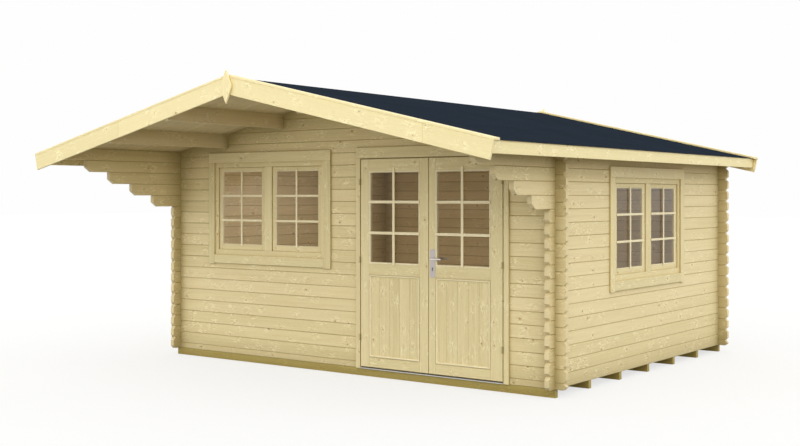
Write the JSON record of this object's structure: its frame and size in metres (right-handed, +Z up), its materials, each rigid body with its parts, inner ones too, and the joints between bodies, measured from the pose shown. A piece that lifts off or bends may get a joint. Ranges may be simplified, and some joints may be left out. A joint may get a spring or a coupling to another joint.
{
  "type": "log cabin",
  "caption": "Log cabin of interlocking squared logs with a low gabled roof reaching out over the front, a glazed double door and casement windows.",
  "frame": {"origin": "on the ground under the middle of the roof's plan", "axes": "+Z up, +Y from the front wall with the door towards the back, +X to the right when facing the front"},
  "size_m": [5.21, 5.32, 2.7119],
  "materials": {
    "treated_wood": "rough sawn, pressure treated",
    "floor_boards": "planed, bare",
    "log_wood": "planed, bare spruce",
    "side_log_wood": "planed, bare spruce",
    "roof_timber": "planed, bare spruce",
    "roof_boards": "planed tongue and groove boards",
    "roofing_felt": "mineral-faced bitumen felt",
    "planed_boards": "planed, bare spruce",
    "joinery_wood": "planed, bare spruce",
    "trim_boards": "planed, bare spruce",
    "door_boards": "tongue and groove boards, bare",
    "window_glass": "clear float glass",
    "threshold_metal": "mill aluminium",
    "hinge_steel": "zinc plated",
    "lock_metal": "satin anodised"
  },
  "bodies": {
    "cabin": {"bearers": "treated_wood", "floor": "floor_boards", "front_wall_left": "log_wood", "front_wall_right": "log_wood", "front_gable": "log_wood", "back_wall": "log_wood", "back_gable": "log_wood", "left_wall": "side_log_wood", "right_wall": "side_log_wood", "ridge_purlin": "roof_timber", "side_purlins": "roof_timber", "roof_deck_left": "roof_boards", "roof_deck_right": "roof_boards", "roofing_felt_left": "roofing_felt", "roofing_felt_right": "roofing_felt", "front_barge_boards": "planed_boards", "back_barge_boards": "planed_boards", "cover_strips": "planed_boards", "finials": "planed_boards", "eave_fascias": "planed_boards", "front_window_frame": "joinery_wood", "front_window_sashes": "joinery_wood", "front_window_glass": "window_glass", "front_window_trim": "trim_boards", "side_window_frame": "joinery_wood", "side_window_sashes": "joinery_wood", "side_window_glass": "window_glass", "side_window_trim": "trim_boards", "door_frame": "joinery_wood", "door_trim": "trim_boards", "door_threshold": "threshold_metal", "left_hinge_pins": "hinge_steel", "right_hinge_pins": "hinge_steel"},
    "left_leaf": {"left_door": "joinery_wood", "left_door_panel": "door_boards", "left_door_glass": "window_glass", "left_hinge_sleeves": "hinge_steel"},
    "right_leaf": {"right_door": "joinery_wood", "right_door_panel": "door_boards", "right_door_glass": "window_glass", "right_hinge_sleeves": "hinge_steel", "lock_plates": "lock_metal"},
    "lever": {"door_lever": "lock_metal"}
  },
  "joints": [
    {"name": "left_door_hinge", "type": "hinge", "parent": "cabin", "child": "left_leaf", "pos_m": [0.22175, -1.153, 1.074], "axis": [0, 0, -1], "range_deg": [0, 170]},
    {"name": "right_door_hinge", "type": "hinge", "parent": "cabin", "child": "right_leaf", "pos_m": [1.75825, -1.153, 1.074], "axis": [0, 0, 1], "range_deg": [0, 120]},
    {"name": "lever_turn", "type": "hinge", "parent": "right_leaf", "child": "lever", "pos_m": [1.03475, -1.125, 1.107], "axis": [0, 1, 0], "range_deg": [0, 40], "stiffness_Nm_per_rad": 1.2, "springref_deg": -34.38}
  ]
}
